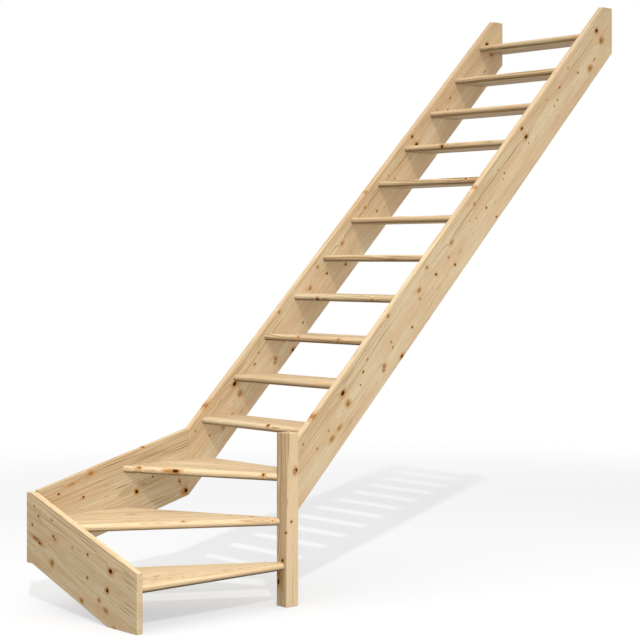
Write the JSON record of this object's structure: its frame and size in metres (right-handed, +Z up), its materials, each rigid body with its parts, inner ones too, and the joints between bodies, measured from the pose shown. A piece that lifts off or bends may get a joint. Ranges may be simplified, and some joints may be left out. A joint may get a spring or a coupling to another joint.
{
  "type": "space-saving staircase",
  "caption": "Steep open-riser softwood stair with closed strings, a newel post and winder treads that turn a quarter to the right at its foot.",
  "frame": {"origin": "centre of the newel post's foot, on the finished floor", "axes": "+Z up, +X horizontally up the straight flight, +Y across the flight from the post to the wall"},
  "size_m": [3.195, 0.85, 2.948],
  "materials": {
    "spruce_post": "planed, untreated",
    "spruce_string": "planed, untreated",
    "spruce_tread": "planed, untreated"
  },
  "bodies": {
    "root": {"newel_post": "spruce_post", "outer_string": "spruce_string", "wall_string_upper": "spruce_string", "wall_string_lower": "spruce_string", "entry_string": "spruce_string", "tread_01": "spruce_tread", "tread_02": "spruce_tread", "tread_03": "spruce_tread", "tread_04": "spruce_tread", "tread_05": "spruce_tread", "tread_06": "spruce_tread", "tread_07": "spruce_tread", "tread_08": "spruce_tread", "tread_09": "spruce_tread", "tread_10": "spruce_tread", "tread_11": "spruce_tread", "tread_12": "spruce_tread", "tread_13": "spruce_tread", "tread_14": "spruce_tread"}
  },
  "joints": []
}
